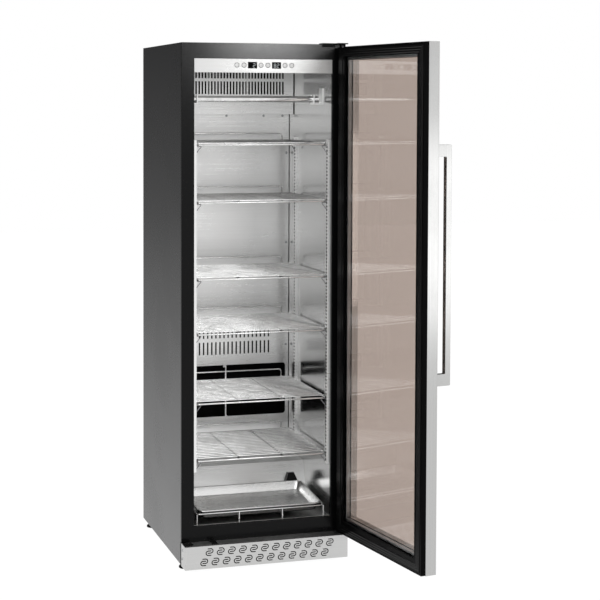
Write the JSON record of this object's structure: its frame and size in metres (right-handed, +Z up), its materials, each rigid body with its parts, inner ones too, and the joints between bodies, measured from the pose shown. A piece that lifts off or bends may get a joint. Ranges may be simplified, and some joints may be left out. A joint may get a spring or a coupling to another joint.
{
  "type": "dry aging cabinet",
  "caption": "Upright dry aging cabinet with a glass door, wire shelves, a hanging rod, a drip tray and a vented plinth.",
  "frame": {"origin": "centre of the base pan's flat underside; the feet's undersides are 24 mm lower", "axes": "+X to the right as seen from the front, +Y from the front to the back, +Z up"},
  "size_m": [0.7696, 1.2573, 1.854],
  "materials": {
    "black_paint": "satin black powder coat",
    "black_frame": "satin black moulded frame",
    "galvanised": "galvanised sheet",
    "foam": "rigid foam",
    "brushed_steel": "brushed stainless steel",
    "bright_wire": "bright plated wire",
    "screw_steel": "zinc plated",
    "aluminium": "mill finish",
    "black_plastic": "matt moulded plastic",
    "compressor_black": "gloss black enamel",
    "bush_plastic": "natural nylon",
    "gasket": "dark grey soft vinyl",
    "tinted_glass": "warm tinted toughened glass",
    "clear_glass": "clear toughened glass",
    "display": "black display window",
    "button": "brushed metal cap"
  },
  "bodies": {
    "cabinet": {"side_panel_left": "black_paint", "side_panel_right": "black_paint", "top_panel": "black_paint", "back_panel": "galvanised", "base_pan": "galvanised", "front_beam": "galvanised", "insulation": "foam", "face_frame": "black_frame", "liner_left": "brushed_steel", "liner_right": "brushed_steel", "liner_floor": "brushed_steel", "liner_back": "brushed_steel", "rear_panel": "brushed_steel", "filter_left": "black_plastic", "filter_right": "black_plastic", "duct_cover": "brushed_steel", "evaporator": "aluminium", "evaporator_fan_frame": "black_plastic", "condenser_fan_frame": "black_plastic", "compressor": "compressor_black", "condenser": "aluminium", "levelling_feet": "black_plastic", "power_inlet": "black_plastic", "shelf_standards": "brushed_steel", "shelf_clips": "bright_wire", "rod_brackets": "brushed_steel", "sensor_cover": "black_plastic", "sheet_screws": "screw_steel", "fascia": "brushed_steel", "display_board": "display", "plinth_grille": "brushed_steel", "plinth_caps": "black_paint", "hinge_top": "black_paint", "hinge_bottom": "screw_steel"},
    "door": {"door_skin": "brushed_steel", "door_core": "black_plastic", "hinge_bushes": "bush_plastic", "door_gasket": "gasket", "glass_outer": "tinted_glass", "glass_inner": "clear_glass", "glass_spacer": "aluminium", "handle": "brushed_steel", "handle_screws": "screw_steel"},
    "shelf_1_body": {"shelf_1": "bright_wire"},
    "shelf_2_body": {"shelf_2": "bright_wire"},
    "shelf_3_body": {"shelf_3": "bright_wire"},
    "shelf_4_body": {"shelf_4": "bright_wire"},
    "shelf_5_body": {"shelf_5": "bright_wire"},
    "shelf_6_body": {"shelf_6": "bright_wire"},
    "rod_body": {"hanging_rod": "brushed_steel"},
    "rack_body": {"tray_rack": "bright_wire"},
    "tray_body": {"drip_tray": "brushed_steel"},
    "button_1_body": {"button_1": "button"},
    "button_2_body": {"button_2": "button"},
    "button_3_body": {"button_3": "button"},
    "button_4_body": {"button_4": "button"},
    "button_5_body": {"button_5": "button"},
    "button_6_body": {"button_6": "button"},
    "evaporator_fan_body": {"evaporator_fan": "black_plastic"},
    "condenser_fan_body": {"condenser_fan": "black_plastic"}
  },
  "joints": [
    {"name": "door_hinge", "type": "hinge", "parent": "cabinet", "child": "door", "pos_m": [0.2891, -0.3488, 0], "axis": [0, 0, 1], "range_deg": [-98.94, 16.06]},
    {"name": "shelf_1_slide", "type": "slide", "parent": "cabinet", "child": "shelf_1_body", "axis": [0, -1, 0], "range_m": [0, 0.3]},
    {"name": "shelf_2_slide", "type": "slide", "parent": "cabinet", "child": "shelf_2_body", "axis": [0, -1, 0], "range_m": [0, 0.3]},
    {"name": "shelf_3_slide", "type": "slide", "parent": "cabinet", "child": "shelf_3_body", "axis": [0, -1, 0], "range_m": [0, 0.3]},
    {"name": "shelf_4_slide", "type": "slide", "parent": "cabinet", "child": "shelf_4_body", "axis": [0, -1, 0], "range_m": [0, 0.3]},
    {"name": "shelf_5_slide", "type": "slide", "parent": "cabinet", "child": "shelf_5_body", "axis": [0, -1, 0], "range_m": [0, 0.3]},
    {"name": "shelf_6_slide", "type": "slide", "parent": "cabinet", "child": "shelf_6_body", "axis": [0, -1, 0], "range_m": [0, 0.3]},
    {"name": "rod_lift", "type": "slide", "parent": "cabinet", "child": "rod_body", "axis": [0, 0, 1], "range_m": [0, 0.03]},
    {"name": "rack_slide", "type": "slide", "parent": "cabinet", "child": "rack_body", "axis": [0, -1, 0], "range_m": [0, 0.25]},
    {"name": "tray_lift", "type": "slide", "parent": "rack_body", "child": "tray_body", "axis": [0, 0, 1], "range_m": [0, 0.05]},
    {"name": "button_1_press", "type": "slide", "parent": "cabinet", "child": "button_1_body", "axis": [0, 1, 0], "range_m": [0, 0.0012], "stiffness_N_per_m": 400, "springref_m": -0.0008},
    {"name": "button_2_press", "type": "slide", "parent": "cabinet", "child": "button_2_body", "axis": [0, 1, 0], "range_m": [0, 0.0012], "stiffness_N_per_m": 400, "springref_m": -0.0008},
    {"name": "button_3_press", "type": "slide", "parent": "cabinet", "child": "button_3_body", "axis": [0, 1, 0], "range_m": [0, 0.0012], "stiffness_N_per_m": 400, "springref_m": -0.0008},
    {"name": "button_4_press", "type": "slide", "parent": "cabinet", "child": "button_4_body", "axis": [0, 1, 0], "range_m": [0, 0.0012], "stiffness_N_per_m": 400, "springref_m": -0.0008},
    {"name": "button_5_press", "type": "slide", "parent": "cabinet", "child": "button_5_body", "axis": [0, 1, 0], "range_m": [0, 0.0012], "stiffness_N_per_m": 400, "springref_m": -0.0008},
    {"name": "button_6_press", "type": "slide", "parent": "cabinet", "child": "button_6_body", "axis": [0, 1, 0], "range_m": [0, 0.0012], "stiffness_N_per_m": 400, "springref_m": -0.0008},
    {"name": "evaporator_fan_spin", "type": "hinge", "parent": "cabinet", "child": "evaporator_fan_body", "pos_m": [0, 0.181, 1.672], "axis": [0, 1, 0], "continuous": true},
    {"name": "condenser_fan_spin", "type": "hinge", "parent": "cabinet", "child": "condenser_fan_body", "pos_m": [-0.118, 0.19, 0.098], "axis": [1, 0, 0], "continuous": true}
  ]
}
